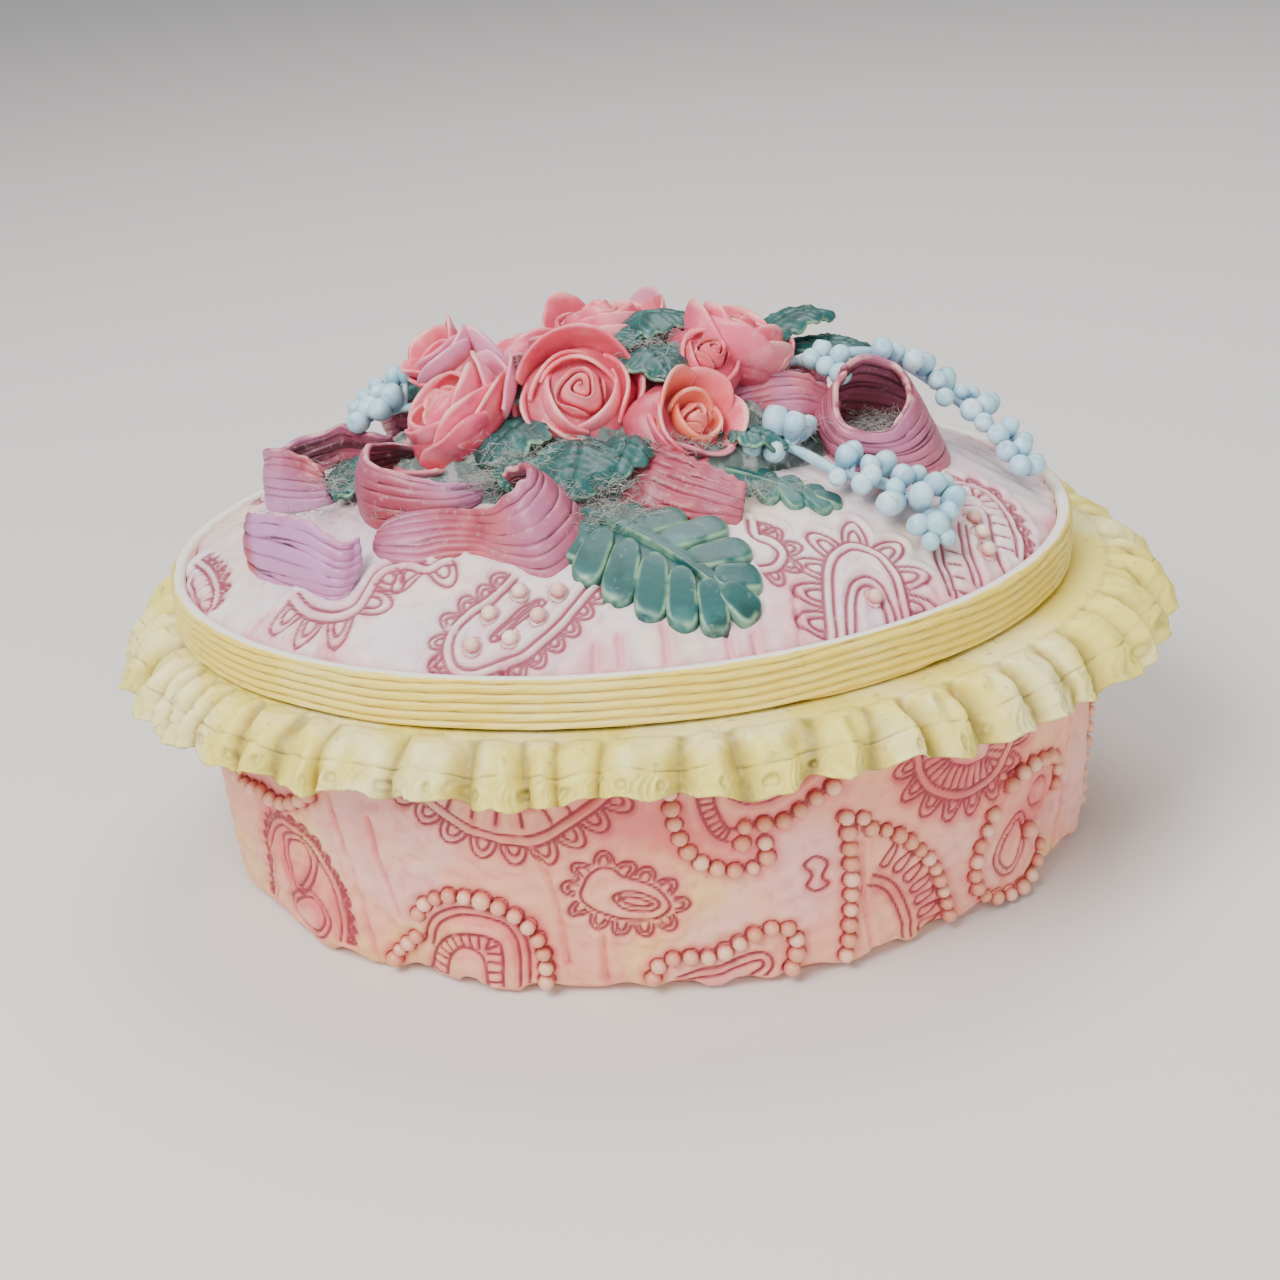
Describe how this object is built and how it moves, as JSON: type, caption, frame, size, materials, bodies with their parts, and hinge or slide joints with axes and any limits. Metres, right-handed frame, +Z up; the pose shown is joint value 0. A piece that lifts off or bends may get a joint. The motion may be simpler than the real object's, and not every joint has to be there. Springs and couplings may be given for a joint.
{
  "type": "trinket box",
  "caption": "Oval trinket box of cast painted resin with a lace ruffle round its mouth and a lift-off domed lid carrying a sculpted bouquet.",
  "frame": {"origin": "middle of the flat underside of the box", "axes": "+Z up, +X along the oval's length to the right of the view that shows the leaf and the front ruffle, -Y towards that viewer"},
  "size_m": [0.1769, 0.1324, 0.0912],
  "materials": {
    "painted_resin_pink": "hand painted cast polyresin, pink washed relief, cream ruffle, satin",
    "painted_resin_lid": "hand painted cast polyresin, pale pink dome, cream hoop, coloured bouquet, satin"
  },
  "bodies": {
    "root": {"box": "painted_resin_pink", "lid": "painted_resin_lid"}
  },
  "joints": []
}
